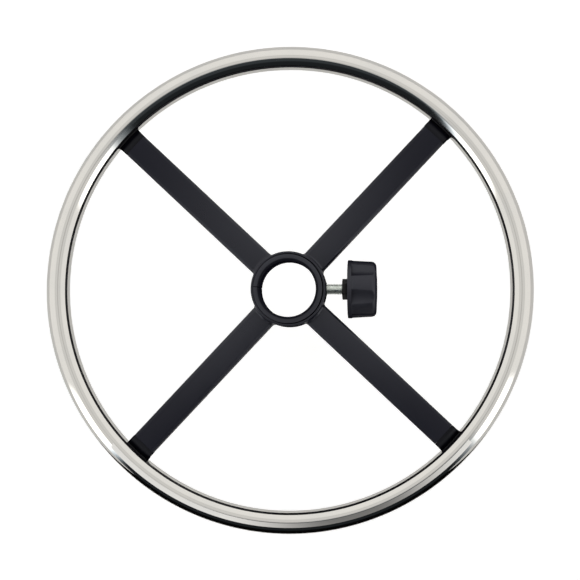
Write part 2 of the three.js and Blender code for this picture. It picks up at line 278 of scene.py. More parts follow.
def on_axis(along, radius, angle, axis):
    """A point at that place along an axis, radius and angle round it."""
    u, v = radius * math.cos(angle), radius * math.sin(angle)
    return (along, u, v) if axis == "X" else (u, v, along)


def join_rows(bm, row, following):
    """Faces between two rows of a turned shape, either of which may be one point on the axis."""
    count = max(len(row), len(following))
    for i in range(count):
        j = (i + 1) % count
        if len(row) == 1:
            bm.faces.new((row[0], following[j], following[i]))
        elif len(following) == 1:
            bm.faces.new((row[i], row[j], following[0]))
        else:
            bm.faces.new((row[i], row[j], following[j], following[i]))


def rod(radius, start, end, segments=96, axis="X"):
    return turned("rod", [(start, 0), (start, radius), (end, radius), (end, 0)], segments, axis)


def prism(outline, start, end, axis="X"):
    """An outline drawn across an axis and drawn out along it."""
    if axis == "X":
        rings = [[(along, u, v) for u, v in outline] for along in (start, end)]
    else:
        rings = [[(u, v, along) for u, v in outline] for along in (start, end)]
    return loft("prism", rings)


def shifted(obj, x=0.0, y=0.0, z=0.0):
    obj.data.transform(Matrix.Translation(Vector((x, y, z)) * MM))
    return obj


def evaluated(obj):
    """Replaces an object's mesh by what its modifiers make of it."""
    bpy.context.view_layer.update()
    graph = bpy.context.evaluated_depsgraph_get()
    mesh = bpy.data.meshes.new_from_object(obj.evaluated_get(graph))
    obj.modifiers.clear()
    obj.data = mesh
    return obj


def combine(base, tool, operation):
    """Joins, cuts or intersects base with another object, which is used up."""
    modifier = base.modifiers.new("combine", "BOOLEAN")
    modifier.operation = operation
    modifier.object = tool
    modifier.solver = "EXACT"
    evaluated(base)
    bpy.data.objects.remove(tool)
    shade(base)
    return base


def cut(base, *tools):
    """Cuts each tool out of base, and uses it up."""
    for tool in tools:
        combine(base, tool, "DIFFERENCE")
    return base


def bevelled(obj, width, segments, angle):
    """Rounds the edges that are sharper than angle."""
    modifier = obj.modifiers.new("bevel", "BEVEL")
    modifier.width = width * MM
    modifier.segments = segments
    modifier.limit_method = "ANGLE"
    modifier.angle_limit = math.radians(angle)
    modifier.miter_outer = "MITER_ARC"
    evaluated(obj)
    shade(obj)
    return obj


def finished(obj, name, material, body, slot, *nodes):
    """Names a piece, gives it its material and ties it to the frame."""
    obj.name = name
    obj.data.name = name
    obj.data.materials.clear()
    obj.data.materials.append(material)
    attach(obj, body)
    if nodes:
        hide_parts(*nodes)
    return obj


# ------------------------------------------------------------------ shader helpers


class Shader:
    """A node tree under construction, on a material or on the world."""

    def __init__(self, owner):
        owner.use_nodes = True
        self.tree = owner.node_tree
        self.tree.nodes.clear()

    def node(self, kind, settings=None, **inputs):
        """Adds a node. Inputs, by name with _ for a space, are values or other nodes' outputs."""
        made = self.tree.nodes.new(kind)
        for key, value in (settings or {}).items():
            setattr(made, key, value)
        for key, value in inputs.items():
            self.feed(made.inputs[key.replace("_", " ")], value)
        return made

    def feed(self, socket, value):
        """Gives an input a value, a colour of three numbers or another node's output."""
        if isinstance(value, bpy.types.NodeSocket):
            self.tree.links.new(value, socket)
        elif socket.type == "RGBA":
            socket.default_value = (*value, 1.0)
        else:
            socket.default_value = value

    def math(self, operation, *values):
        """The output of a Math node on values or other nodes' outputs."""
        made = self.tree.nodes.new("ShaderNodeMath")
        made.operation = operation
        for socket, value in zip(made.inputs, values):
            self.feed(socket, value)
        return made.outputs[0]

    def product(self, *values):
        """Two or more values multiplied together."""
        result = values[0]
        for value in values[1:]:
            result = self.math("MULTIPLY", result, value)
        return result

    def window(self, value, start, end, low=0.0, high=1.0):
        """Goes smoothly from low to high as value goes from start to end."""
        made = self.node(
            "ShaderNodeMapRange",
            {"interpolation_type": "SMOOTHSTEP"},
            Value=value,
            From_Min=start,
            From_Max=end,
            To_Min=low,
            To_Max=high,
        )
        return made.outputs["Result"]

    def noise(self, vector, scale, detail=2.0, roughness=0.5):
        """Smooth noise, from 0 to 1."""
        made = self.node(
            "ShaderNodeTexNoise",
            Vector=vector,
            Scale=scale,
            Detail=detail,
            Roughness=roughness,
        )
        return made.outputs["Fac"]

    def mix(self, factor, first, second):
        """A blend of two colours."""
        made = self.tree.nodes.new("ShaderNodeMix")
        made.data_type = "RGBA"
        self.feed(made.inputs[0], factor)
        self.feed(made.inputs[6], first)
        self.feed(made.inputs[7], second)
        return made.outputs[2]

    def bump(self, height, depth, normal=None):
        """A bump of that depth in millimetres, on top of another if one is given."""
        inputs = {"Height": height, "Distance": depth * MM, "Strength": 1.0}
        if normal is not None:
            inputs["Normal"] = normal
        return self.node("ShaderNodeBump", **inputs).outputs["Normal"]

    def gloss(self, start, end, level=0.5):
        """Specular level that falls to nothing as a surface is seen more edge-on: painted shade on
        walls, slopes and sides.
        """
        facing = self.node("ShaderNodeLayerWeight", Blend=0.5).outputs["Facing"]
        return self.window(facing, start, end, level, 0.0)

    def surface(self, **inputs):
        """Ends the tree in a Principled surface."""
        principled = self.node("ShaderNodeBsdfPrincipled", **inputs)
        self.node("ShaderNodeOutputMaterial", Surface=principled.outputs["BSDF"])


def new_material(name):
    """A new material and the shader that draws it."""
    material = bpy.data.materials.new(name)
    return material, Shader(material)


def object_place(shader):
    """Where a point lies on its own object, in metres, moved on for each copy of a piece."""
    place = shader.node("ShaderNodeTexCoord").outputs["Object"]
    copy = shader.node("ShaderNodeObjectInfo").outputs["Random"]
    moved = shader.node("ShaderNodeVectorMath", {"operation": "ADD"})
    shader.tree.links.new(place, moved.inputs[0])
    shader.tree.links.new(copy, moved.inputs[1])
    return moved.outputs["Vector"]


# ------------------------------------------------------------------ materials


def chrome():
    """Bright chromium: faint buffing lines along the tube and a little haze."""
    material, shader = new_material("ring_chrome")
    place = shader.node("ShaderNodeTexCoord").outputs["Object"]
    axes = shader.node("ShaderNodeSeparateXYZ", Vector=place)
    x, y, z = axes.outputs[0], axes.outputs[1], axes.outputs[2]
    around = shader.math("ARCTAN2", y, x)
    squares = shader.math("ADD", shader.product(x, x), shader.product(y, y))
    from_axis = shader.math("SQRT", squares)
    across = shader.math("ARCTAN2", z, shader.math("SUBTRACT", from_axis, ring_radius * MM))
    lines = shader.node("ShaderNodeCombineXYZ", X=shader.product(around, 1.2), Y=across)
    buffing = shader.noise(lines.outputs[0], 60.0, 4.0, 0.6)
    haze = shader.noise(place, 35.0, 3.0)
    roughness = shader.math(
        "ADD",
        shader.window(buffing, 0.35, 0.75, 0.045, 0.085),
        shader.window(haze, 0.45, 0.8, 0.0, 0.05),
    )
    colour = shader.mix(shader.window(haze, 0.3, 0.8), (0.715, 0.70, 0.665), (0.68, 0.67, 0.645))
    shader.surface(
        Base_Color=colour,
        Metallic=1.0,
        Roughness=roughness,
        Normal=shader.bump(buffing, 0.0012),
    )
    return material


def powder_coat():
    """Satin black powder coat: orange peel and fine specks, with painted shade that dims its shine
    away from the hub.
    """
    material, shader = new_material("spider_coat")
    place = object_place(shader)
    peel = shader.noise(place, 750.0, 2.0, 0.45)
    grain = shader.noise(place, 4200.0, 1.0, 0.5)
    patches = shader.noise(place, 28.0, 3.0, 0.6)
    colour = shader.mix(patches, (0.0034, 0.0036, 0.0083), (0.0066, 0.0065, 0.0130))
    roughness = shader.math(
        "ADD",
        shader.window(patches, 0.3, 0.7, 0.27, 0.34),
        shader.window(grain, 0.3, 0.7, 0.0, 0.05),
    )
    # Painted shade: the shine weakens to 0.45 between 50 and 200 mm out from the hub, darkening
    # the arms towards the ring, and fades on faces seen edge-on.
    from_hub = shader.node("ShaderNodeVectorMath", {"operation": "LENGTH"})
    shader.tree.links.new(shader.node("ShaderNodeTexCoord").outputs["Object"], from_hub.inputs[0])
    painted_shade_from_hub = shader.window(from_hub.outputs["Value"], 0.05, 0.2, 1.0, 0.45)
    shader.surface(
        Base_Color=colour,
        Roughness=roughness,
        IOR=1.47,
        Specular_IOR_Level=shader.product(painted_shade_from_hub, shader.gloss(0.66, 0.9, 0.6)),
        Specular_Tint=(0.90, 0.92, 1.0),
        Normal=shader.bump(grain, 0.004, shader.bump(peel, 0.012)),
    )
    return material


def moulded_plastic(name, dark, light, roughness, grain_size, grain_depth, gloss):
    """Moulded black plastic: an eroded grain, with flow marks in its colour and shine.

    grain_size and grain_depth are in millimetres. gloss says where, between face-on (0)
    and edge-on (1), the shine starts and stops fading as painted shade, and how strong it is
    face-on.
    """
    material, shader = new_material(name)
    place = object_place(shader)
    grain = shader.noise(place, 1 / (grain_size * MM), 2.0, 0.55)
    flow = shader.noise(place, 45.0, 3.0, 0.6)
    colour = shader.mix(shader.window(flow, 0.3, 0.7), dark, light)
    shine = shader.math(
        "ADD",
        shader.window(flow, 0.3, 0.7, roughness - 0.04, roughness + 0.04),
        shader.window(grain, 0.3, 0.7, -0.04, 0.04),
    )
    shader.surface(
        Base_Color=colour,
        Roughness=shine,
        IOR=1.5,
        # Painted shade: the shine fades on faces seen edge-on.
        Specular_IOR_Level=shader.gloss(*gloss),
        Specular_Tint=(0.90, 0.92, 1.0),
        Normal=shader.bump(grain, grain_depth),
    )
    return material


def plated_metal(name, bright, dull, roughness, scratch_scale):
    """A plated or turned metal: duller patches, and fine scratches across the X axis."""
    material, shader = new_material(name)
    place = object_place(shader)
    patches = shader.noise(place, 260.0, 3.0, 0.6)
    stretched = shader.node("ShaderNodeMapping", Vector=place, Scale=(scratch_scale, 60.0, 60.0))
    scratches = shader.noise(stretched.outputs["Vector"], 1.0, 3.0, 0.6)
    colour = shader.mix(shader.window(patches, 0.35, 0.7), bright, dull)
    shine = shader.math(
        "ADD",
        shader.window(patches, 0.3, 0.7, roughness - 0.05, roughness + 0.07),
        shader.window(scratches, 0.3, 0.7, 0.0, 0.06),
    )
    shader.surface(
        Base_Color=colour,
        Metallic=1.0,
        Roughness=shine,
        Normal=shader.bump(scratches, 0.0015),
    )
    return material


def black_steel():
    """Blackened steel: a thin dark oxide, oiled, slightly uneven."""
    material, shader = new_material("black_steel")
    place = object_place(shader)
    patches = shader.noise(place, 420.0, 3.0, 0.6)
    grain = shader.noise(place, 3800.0, 2.0)
    worn = shader.window(patches, 0.35, 0.7)
    colour = shader.mix(worn, (0.004, 0.004, 0.005), (0.007, 0.0065, 0.0065))
    shader.surface(
        Base_Color=colour,
        Roughness=shader.window(patches, 0.3, 0.7, 0.34, 0.46),
        # Painted shade: the shine fades on faces seen edge-on.
        Specular_IOR_Level=shader.gloss(0.3, 0.7, 0.28),
        Normal=shader.bump(grain, 0.004),
    )
    return material


# ------------------------------------------------------------------ ring


def ring_tube(material):
    """The bent tube, hollow, with a hole underneath for each rivet nut."""
    outside = torus("ring", tube_radius, 288, 64)
    tube = cut(outside, torus("inside", tube_radius - TUBE_WALL, 288, 32))
    for arm in range(ARM_COUNT):
        angle = arm_angle(arm)
        hole = rod(RIVET_NUT_RADIUS + GAP, -tube_radius - 1, -tube_radius / 2, 32, "Z")
        cut(tube, shifted(hole, ring_radius * math.cos(angle), ring_radius * math.sin(angle)))
    return finished(tube, "foot_ring", material, "ring_frame", "ring_chrome", "rim_tube")


def torus(name, radius, around, across):
    """A ring of round section on the foot ring's centre line."""
    rings = []
    for step in range(around):
        turn = 2 * math.pi * step / around
        ring = []
        for u, v in arc((ring_radius, 0), radius, 0, 360 - 360 / across, across - 1):
            ring.append((u * math.cos(turn), u * math.sin(turn), v))
        rings.append(ring)
    return loft(name, rings, closed=True)


def arm_angle(arm):
    """The direction of an arm, in radians from +X."""
    return first_arm_angle + 2 * math.pi / ARM_COUNT * arm


# ------------------------------------------------------------------ arms and saddles
# Each is drawn lying along +X and turned to its arm's angle as an object.


def arm_tube():
    """Rectangular tube with rounded corners, coped to butt against the collar."""
    cope = collar_radius + GAP
    edge = ARM_END_CHAMFER
    outer = rounded_rectangle(ARM_WIDTH, 2 * arm_top, ARM_CORNER)
    trimmed = rounded_rectangle(ARM_WIDTH - 2 * edge, 2 * arm_top - 2 * edge, ARM_CORNER - edge)
    inner = rounded_rectangle(
        ARM_WIDTH - 2 * ARM_WALL, 2 * arm_top - 2 * ARM_WALL, ARM_CORNER - ARM_WALL
    )
    rings = [
        [(math.sqrt(cope**2 - y**2), y, z) for y, z in outer],
        [(cope + 4, y, z) for y, z in outer],
        [(ARM_END - 4, y, z) for y, z in outer],
        [(ARM_END - edge, y, z) for y, z in outer],
        [(ARM_END, y, z) for y, z in trimmed],
        [(ARM_END, y, z) for y, z in inner],
        [(math.sqrt(cope**2 - y**2), y, z) for y, z in inner],
    ]
    return loft("arm", rings, closed=True)


def weld_bead():
    """A hollow fillet weld round the arm's end, faintly rippled, from the arm to the collar."""
    spacing = 0.45
    outline = rounded_rectangle(ARM_WIDTH, 2 * arm_top, ARM_CORNER, 8)
    path = evenly_spaced(outline, spacing)
    rings = []
    for i, point in enumerate(path):
        along = (path[(i + 1) % len(path)] - path[i - 1]).normalized()
        out = Vector((along.y, -along.x))
        wave = 2 * math.pi * spacing * i / WELD_RIPPLE
        leg = WELD_SIZE * (1 + 0.03 * math.sin(wave) + 0.05 * math.sin(wave / 5.3 + 1))
        section = [
            (-WELD_ROOT, -WELD_ROOT),
            (-WELD_ROOT, leg),
            *arc((leg, leg), leg, 180, 270, 8),
            (leg, -WELD_ROOT),
        ]
        ring = []
        for outward, away in section:
            y, z = point + out * away
            ring.append((math.sqrt(collar_radius**2 - y**2) + outward, y, z))
        rings.append(ring)
    return loft("weld", rings, closed=True)


def evenly_spaced(outline, spacing):
    """Points at an even spacing along a closed outline."""
    points = [Vector(point) for point in outline]
    lengths = [(points[(i + 1) % len(points)] - point).length for i, point in enumerate(points)]
    count = round(sum(lengths) / spacing)
    step = sum(lengths) / count
    spaced, i, passed = [], 0, 0.0
    for k in range(count):
        while passed + lengths[i] < k * step:
            passed += lengths[i]
            i += 1
        share = (k * step - passed) / lengths[i]
        spaced.append(points[i].lerp(points[(i + 1) % len(points)], share))
    return spaced


def saddle_profile():
    """Radius and height round the saddle: top, rounded nose, cradle, foot."""
    seat = tube_radius + GAP
    lip_angle = 180 - math.degrees(math.asin(SADDLE_LIP_HEIGHT / seat))
    lip = ring_radius + seat * math.cos(math.radians(lip_angle))
    foot_outer = ring_radius + SADDLE_FOOT_WIDTH / 2
    foot_inner = ring_radius - SADDLE_FOOT_WIDTH / 2
    foot_top_angle = -math.degrees(math.acos(SADDLE_FOOT_WIDTH / 2 / seat))
    start = ARM_END - 2
    fall = -saddle_foot - arm_top
    nose_centre = (SADDLE_NOSE_START, arm_top - SADDLE_NOSE_RADIUS)
    return [
        (start, arm_top),
        *arc(nose_centre, SADDLE_NOSE_RADIUS, 90, 90 - SADDLE_NOSE_TILT, 10),
        (lip - 0.35, SADDLE_LIP_HEIGHT + 0.25),
        (lip, SADDLE_LIP_HEIGHT),
        *arc((ring_radius, 0), seat, lip_angle, 360 + foot_top_angle, 28)[1:],
        (foot_outer, saddle_foot + 0.6),
        (foot_outer - 0.6, saddle_foot),
        *arc((foot_inner, -arm_top), fall, 270, 180, 8),
        (start, -arm_top),
    ]


def saddle():
    """Moulded end piece: a cradle for the ring and a plug for the arm's open end."""
    flare_start = ring_radius - tube_radius - 5
    columns = 13
    rings = []
    for column in range(columns):
        share = 2 * column / (columns - 1) - 1
        ring = []
        for radius, z in saddle_profile():
            blend = min(max((radius - flare_start) / SADDLE_FLARE_LENGTH, 0), 1)
            half = ARM_WIDTH / 2 + SADDLE_FLARE * blend**2
            y = share * half
            x = radius if radius <= ARM_END else math.sqrt(radius**2 - y**2)
            ring.append((x, y, z))
        rings.append(ring)
    body = loft("saddle", rings)
    bevelled(body, SADDLE_EDGE_RADIUS, 4, 50)
    shoulder_cut = rounded_rectangle(2 * ARM_WIDTH, 2 * ARM_WIDTH, 0)
    cut(body, prism(shoulder_cut, ARM_END - 10, ARM_END + JOINT_GAP))
    plug = prism(
        rounded_rectangle(
            ARM_WIDTH - 2 * ARM_WALL - 2 * GAP,
            2 * arm_top - 2 * ARM_WALL - 2 * GAP,
            ARM_CORNER - ARM_WALL - GAP,
        ),
        ARM_END - PLUG_LENGTH,
        ARM_END + 2,
    )
    combine(body, plug, "UNION")
    screw_hole = rod(RIM_SCREW_DIAMETER / 2 + GAP, saddle_foot - 1, 0, 32, "Z")
    seat_depth = RIVET_FLANGE_THICKNESS + 2 * GAP
    flange_seat = rod(RIVET_FLANGE_RADIUS + GAP, -tube_radius - seat_depth, 0, 40, "Z")
    return cut(body, shifted(screw_hole, ring_radius), shifted(flange_seat, ring_radius))


def rim_screw():
    """Button-head screw with a hexagon socket, up through the saddle's foot."""
    under = saddle_foot - GAP
    crown = under - RIM_SCREW_HEAD_HEIGHT
    head = RIM_SCREW_HEAD_DIAMETER / 2
    shank = RIM_SCREW_DIAMETER / 2
    flat = 0.42 * head
    dome = 0.82 * RIM_SCREW_HEAD_HEIGHT
    profile = [(crown, 0), (crown, flat)]
    for step in range(1, 9):
        t = math.pi / 2 * step / 8
        profile.append((crown + dome * (1 - math.cos(t)), flat + (head - flat) * math.sin(t)))
    profile += [(under, head), (under, shank), (RIM_SCREW_TIP - 0.6, shank)]
    profile += [(RIM_SCREW_TIP, shank - 0.6), (RIM_SCREW_TIP, 0)]
    screw = turned("rim_screw", profile, 48)
    socket = prism(hexagon(RIM_SCREW_SOCKET), crown - 1, crown + RIM_SCREW_SOCKET_DEPTH, "Z")
    return shifted(cut(screw, socket), ring_radius)


def rivet_nut():
    """Threaded insert in the ring's underside, its flange outside the tube."""
    bore = RIM_SCREW_DIAMETER / 2 + GAP
    top = -tube_radius - GAP
    profile = rounded([
        (top - RIVET_FLANGE_THICKNESS, bore, 0.15),
        (top - RIVET_FLANGE_THICKNESS, RIVET_FLANGE_RADIUS, 0.3),
        (top, RIVET_FLANGE_RADIUS, 0.1),
        (top, RIVET_NUT_RADIUS, 0),
        (RIVET_NUT_TOP, RIVET_NUT_RADIUS, 0.4),
        (RIVET_NUT_TOP, bore, 0),
    ])
    return shifted(turned("rivet_nut", profile, 48), ring_radius)


def arms(coat, nylon, steel, zinc):
    """All four arms with their welds, saddles and fixings."""
    pieces = [
        ("spoke", arm_tube(), coat, "spider_coat", "arm"),
        ("spoke_weld", weld_bead(), coat, "spider_coat", None),
        ("saddle", saddle(), nylon, "saddle_nylon", "rim_saddle"),
        ("saddle_screw", rim_screw(), steel, "black_steel", "rim_screw"),
        ("rivet_nut", rivet_nut(), zinc, "zinc_plate", "rim_rivet_nut"),
    ]
    for name, pattern, material, slot, node in pieces:
        for arm in range(ARM_COUNT):
            copy = bpy.data.objects.new(name, pattern.data.copy())
            bpy.context.scene.collection.objects.link(copy)
            copy.rotation_euler = (0, 0, arm_angle(arm))
            nodes = [f"{node}_{arm + 1}"] if node else []
            finished(copy, f"{name}_{arm + 1}", material, "ring_frame", slot, *nodes)
        bpy.data.objects.remove(pattern)


# ------------------------------------------------------------------ hub


def collar(material):
    """The steel collar, with a hole for the weld nut's pilot."""
    ring = turned("collar", rounded([
        (-collar_top, collar_bore_radius, 0.15),
        (-collar_top, collar_radius, COLLAR_EDGE_RADIUS),
        (collar_top, collar_radius, COLLAR_EDGE_RADIUS),
        (collar_top, collar_bore_radius, 0.15),
    ], 6), 192)
    cut(ring, rod(WELD_NUT_PILOT_RADIUS + GAP, 20, 50))
    return finished(ring, "hub_ring", material, "ring_frame", "spider_coat", "hub_collar")


def bush(material):
    """Split bush: lead-in, flange below, pockets for the weld nut and the thrust pad."""
    bottom, top = bush_low.z, bush_high.z
    flange_top = -collar_top - GAP
    body = turned("bush", rounded([
        (bottom, BUSH_BORE_RADIUS, 0.7),
        (bottom, bush_flange_radius, 0.6),
        (flange_top, bush_flange_radius, 0.4),
        (flange_top, BUSH_RADIUS, 0),
        (top, BUSH_RADIUS, 0.15),
        (top, BUSH_BORE_RADIUS + BUSH_LEAD_IN, 0.3),
        (top - BUSH_LEAD_IN, BUSH_BORE_RADIUS, 0.6),
    ], 4), 192)
    shifted(body, bush_centre)
    half = BUSH_SPLIT_WIDTH / 2
    split = prism([(18, -half), (40, -half), (40, half), (18, half)], bottom - 5, top + 5, "Z")
    split.data.transform(Matrix.Rotation(math.radians(BUSH_SPLIT_ANGLE), 4, "Z"))
    nut_pocket = rod(WELD_NUT_FLANGE_RADIUS + GAP, weld_nut_low.x - GAP, 50)
    pad_pocket = rod((pad_high.z - pad_low.z) / 2 + 0.6, pad_low.x - GAP, 50, 48)
    cut(body, split, nut_pocket, pad_pocket)
    return finished(body, "split_bush", material, "ring_frame", "bush_nylon", "column_bush")


def weld_nut(material):
    """Flange curved to the collar's bore, and a pilot that stands out through its wall."""
    start, end = weld_nut_low.x, weld_nut_high.x
    flange = rod(WELD_NUT_FLANGE_RADIUS, start, collar_radius)
    combine(flange, rod(collar_bore_radius - GAP, -20, 20, 192, "Z"), "INTERSECT")
    pilot = turned("pilot", [
        (start + 0.5, 0),
        (start + 0.5, WELD_NUT_PILOT_RADIUS),
        (end - 0.3, WELD_NUT_PILOT_RADIUS),
        (end, WELD_NUT_PILOT_RADIUS - 0.3),
        (end, 0),
    ], 96, "X")
    combine(flange, pilot, "UNION")
    cut(flange, turned("hole", [
        (20, 0),
        (20, thread_hole_radius),
        (end - 0.6, thread_hole_radius),
        (end + 1, thread_hole_radius + 1.6),
        (end + 1, 0),
    ], 72, "X"))
    return finished(flange, "screw_boss", material, "ring_frame", "spider_coat", "clamp_weld_nut")


# ------------------------------------------------------------------ clamp screw


def pad(material):
    """Round pad with a socket for the screw's nub."""
    radius = (pad_high.z - pad_low.z) / 2
    front, back = pad_low.x, pad_high.x
    socket = SCREW_NUB_RADIUS + GAP
    floor_x = screw_low.x - GAP
    disc = turned("pad", [
        (front, 0),
        (front, radius - 0.5),
        (front + 0.15, radius - 0.15),
        (front + 0.5, radius),
        (back - 0.2, radius),
        (back, radius - 0.2),
        (back, socket + 0.2),
        (back - 0.2, socket),
        (floor_x, socket),
        (floor_x, 0),
    ], 64, "X")
    return finished(disc, "brass_pad", material, "pad", "pad_brass", "thrust_pad")


def thread_radius(x, angle, start):
    """Radius of an M10 thread's surface, with rounded roots and flat crests."""
    phase = (x / THREAD_PITCH - angle / (2 * math.pi)) % 1.0
    ridge = abs(2 * phase - 1)  # 1 in the root, 0 on the crest
    wave = min(max((ridge - 0.22) / 0.64, 0.0), 1.0)
    flank = 0.85  # share of the depth at which the flank turns into the root
    if wave > flank:
        wave = flank + (1 - flank) * math.sin((wave - flank) / (1 - flank) * math.pi / 2)
    lead = THREAD_RADIUS - 1.0 + (x - start)
    return min(THREAD_RADIUS - THREAD_DEPTH * wave, max(lead, THREAD_RADIUS - THREAD_DEPTH - 0.2))


def threaded_screw(material):
    """M10 screw: turned-down nub, rolled thread and hexagon head."""
    start = screw_low.x + SCREW_NUB_LENGTH
    head_end = screw_high.x
    head_start = head_end - HEAD_THICKNESS
    turns = (head_start + 0.5 - start) / THREAD_PITCH
    rows, columns = round(turns * 14), 56
    rings = [circle_x(screw_low.x, SCREW_NUB_RADIUS - 0.25, columns)]
    rings.append(circle_x(screw_low.x + 0.25, SCREW_NUB_RADIUS, columns))
    rings.append(circle_x(start, SCREW_NUB_RADIUS, columns))
    for row in range(rows + 1):
        x = start + (head_start + 0.5 - start) * row / rows
        ring = []
        for column in range(columns):
            angle = 2 * math.pi * column / columns
            radius = thread_radius(x, angle, start)
            ring.append((x, radius * math.cos(angle), radius * math.sin(angle)))
        rings.append(ring)
    shank = loft("shank", rings)
    combine(shank, hexagon_head(head_start, head_end), "UNION")
    return finished(shank, "threaded_stud", material, "knob", "zinc_plate", "clamp_screw")


def circle_x(x, radius, count):
    """Points on a circle round the X axis."""
    return [
        (x, radius * math.cos(2 * math.pi * i / count), radius * math.sin(2 * math.pi * i / count))
        for i in range(count)
    ]


def hexagon_head(start, end):
    """A hexagon prism along X whose corners are chamfered at both ends."""
    corner = HEX_ACROSS_FLATS / math.sqrt(3)
    prism_x = prism(hexagon(HEX_ACROSS_FLATS), start, end)
    chamfer = turned("chamfer", [
        (start, 0),
        (start, corner * 0.93),
        (start + corner * 0.05, corner * 1.01),
        (end - corner * 0.05, corner * 1.01),
        (end, corner * 0.93),
        (end, 0),
    ], 96, "X")
    return combine(prism_x, chamfer, "INTERSECT")


def thin_nut(material):
    """Thin hexagon nut with a countersunk hole, locked against the knob."""
    nut = hexagon_head(lock_nut_low.x, lock_nut_high.x)
    start, end = lock_nut_low.x, lock_nut_high.x
    cut(nut, turned("hole", [
        (start - 1, 0),
        (start - 1, thread_hole_radius + 1.7),
        (start + 0.7, thread_hole_radius),
        (end - 0.7, thread_hole_radius),
        (end + 1, thread_hole_radius + 1.7),
        (end + 1, 0),
    ], 72, "X"))
    bevelled(nut, 0.18, 2, 25)
    return finished(nut, "jam_nut", material, "knob", "black_steel", "lock_nut")


# ------------------------------------------------------------------ knob


def smooth_minimum(a, b, width):
    """The smaller of a and b, rounded off where they cross."""
    h = min(max(0.5 + 0.5 * (b - a) / width, 0.0), 1.0)
    return b + (a - b) * h - width * h * (1 - h)


def scalloped(radius, angle):
    """The grip's radius at an angle, once the finger scallops are taken out of it."""
    centre = KNOB_GRIP_RADIUS - KNOB_TAPER / 2 - SCALLOP_DEPTH + SCALLOP_RADIUS
    pitch = 2 * math.pi / SCALLOP_COUNT
    off = (angle - math.radians(SCALLOP_PHASE) + pitch / 2) % pitch - pitch / 2
    across = centre * math.sin(off)
    if abs(across) >= SCALLOP_RADIUS:
        return radius
    hollow = centre * math.cos(off) - math.sqrt(SCALLOP_RADIUS**2 - across**2)
    return smooth_minimum(radius, hollow, SCALLOP_EDGE)


def knob_rows():
    """(place along X, radius, scalloped or not) from the back's centre to the end's centre."""
    flange_end = knob_start + KNOB_FLANGE_THICKNESS
    flange = rounded([
        (knob_start, 0, 0),
        (knob_start, KNOB_FLANGE_RADIUS, 0.6),
        (flange_end, KNOB_FLANGE_RADIUS, 0.35),
        (flange_end, 0, 0),
    ], 5)[:-1]
    rows = [(x, radius, False) for x, radius in flange]
    end_radius = KNOB_GRIP_RADIUS - KNOB_TAPER
    corner_x = knob_end - KNOB_END_CROWN - KNOB_CORNER
    rows.append((flange_end, KNOB_GRIP_RADIUS + 0.25, False))
    rows.append((flange_end + 0.02, KNOB_GRIP_RADIUS + 0.12, True))
    for step in range(9):
        share = step / 8
        x = flange_end + 0.25 + (corner_x - flange_end - 0.25) * share
        rows.append((x, KNOB_GRIP_RADIUS - KNOB_TAPER * share, True))
    corner_centre = (corner_x, end_radius - KNOB_CORNER)
    for x, radius in arc(corner_centre, KNOB_CORNER, 90, 8, 14)[1:]:
        rows.append((x, radius, True))
    rows.append((knob_end - 0.15, CAP_RADIUS + 3.0, True))
    rows.append((knob_end, CAP_RADIUS + 1.2, True))
    rows.append((knob_end, 0, True))
    return rows


def knob_shell():
    """The knob's outside, before its hollows are cut."""
    columns = 360
    bm = bmesh.new()
    rows = []
    for x, radius, grip in knob_rows():
        if radius == 0:
            rows.append([bm.verts.new((x, 0, 0))])
            continue
        row = []
        for column in range(columns):
            angle = 2 * math.pi * column / columns
            r = scalloped(radius, angle) if grip else radius
            row.append(bm.verts.new((x, r * math.cos(angle), r * math.sin(angle))))
        rows.append(row)
    for row, following in zip(rows, rows[1:]):
        join_rows(bm, row, following)
    return mesh_object("knob", bm, 40)


def core_pocket(number):
    """One of the hollows moulded into the knob's back, between two ribs."""
    pitch = 360 / SCALLOP_COUNT
    first = SCALLOP_PHASE + pitch * number
    last = first + pitch
    mouth, edge, bottom = knob_start - 1, knob_start + 0.35, knob_start + CORE_DEPTH
    rings = []
    for x, spread in ((mouth, 1.3), (edge, 0.0), (bottom, -0.4)):
        inner, outer = CORE_HUB_RADIUS - spread, CORE_WALL_RADIUS + spread
        half_rib = RIB_THICKNESS / 2 - spread * 0.6
        a = math.degrees(math.asin(half_rib / inner))
        b = math.degrees(math.asin(half_rib / outer))
        inner_edge = arc((0, 0), inner, last - a, first + a, 16)
        outer_edge = arc((0, 0), outer, first + b, last - b, 16)
        rings.append([(x, y, z) for y, z in inner_edge + outer_edge])
    return loft("pocket", rings)


def knob(material):
    """Six-lobed hand knob: flange, scalloped grip, cored back, recess for the cap."""
    body = knob_shell()
    head_start = screw_high.x - HEAD_THICKNESS - GAP
    cap_seat = knob_end - CAP_SEAT_DEPTH
    mouth = CAP_RADIUS + GAP
    cut(
        body,
        *[core_pocket(number) for number in range(SCALLOP_COUNT)],
        prism(hexagon(HEX_ACROSS_FLATS + 2 * GAP), head_start, cap_seat + 1),
        turned("recess", [
            (cap_seat, 0),
            (cap_seat, mouth),
            (knob_end - 0.25, mouth),
            (knob_end + 1, mouth + 1.25),
            (knob_end + 1, 0),
        ], 128, "X"),
        rod(thread_hole_radius, knob_start - 5, head_start + 1, 72),
    )
    return finished(body, "hand_knob", material, "knob", "knob_plastic", "knob_body")


def cap(material):
    """Push-in cap with a slightly domed face."""
    back, front = cap_low.x, cap_high.x
    seat = knob_end - CAP_SEAT_DEPTH + GAP
    dome = front - knob_end + CAP_RIM_DEPTH
    profile = [
        (back, 0),
        (back, CAP_PLUG_RADIUS - 0.2),
        (back + 0.3, CAP_PLUG_RADIUS),
        (seat, CAP_PLUG_RADIUS + 0.6),
        (seat, CAP_RADIUS - 0.3),
        (front - dome, CAP_RADIUS),
    ]
    for step in range(1, 13):
        share = step / 12
        radius = CAP_RADIUS * (1 - share)
        profile.append((front - dome * (radius / CAP_RADIUS) ** 3.2, radius))
    disc = turned("cap", profile, 128, "X")
    return finished(disc, "screw_cap", material, "knob", "knob_plastic", "knob_cap")


# ------------------------------------------------------------------ studio

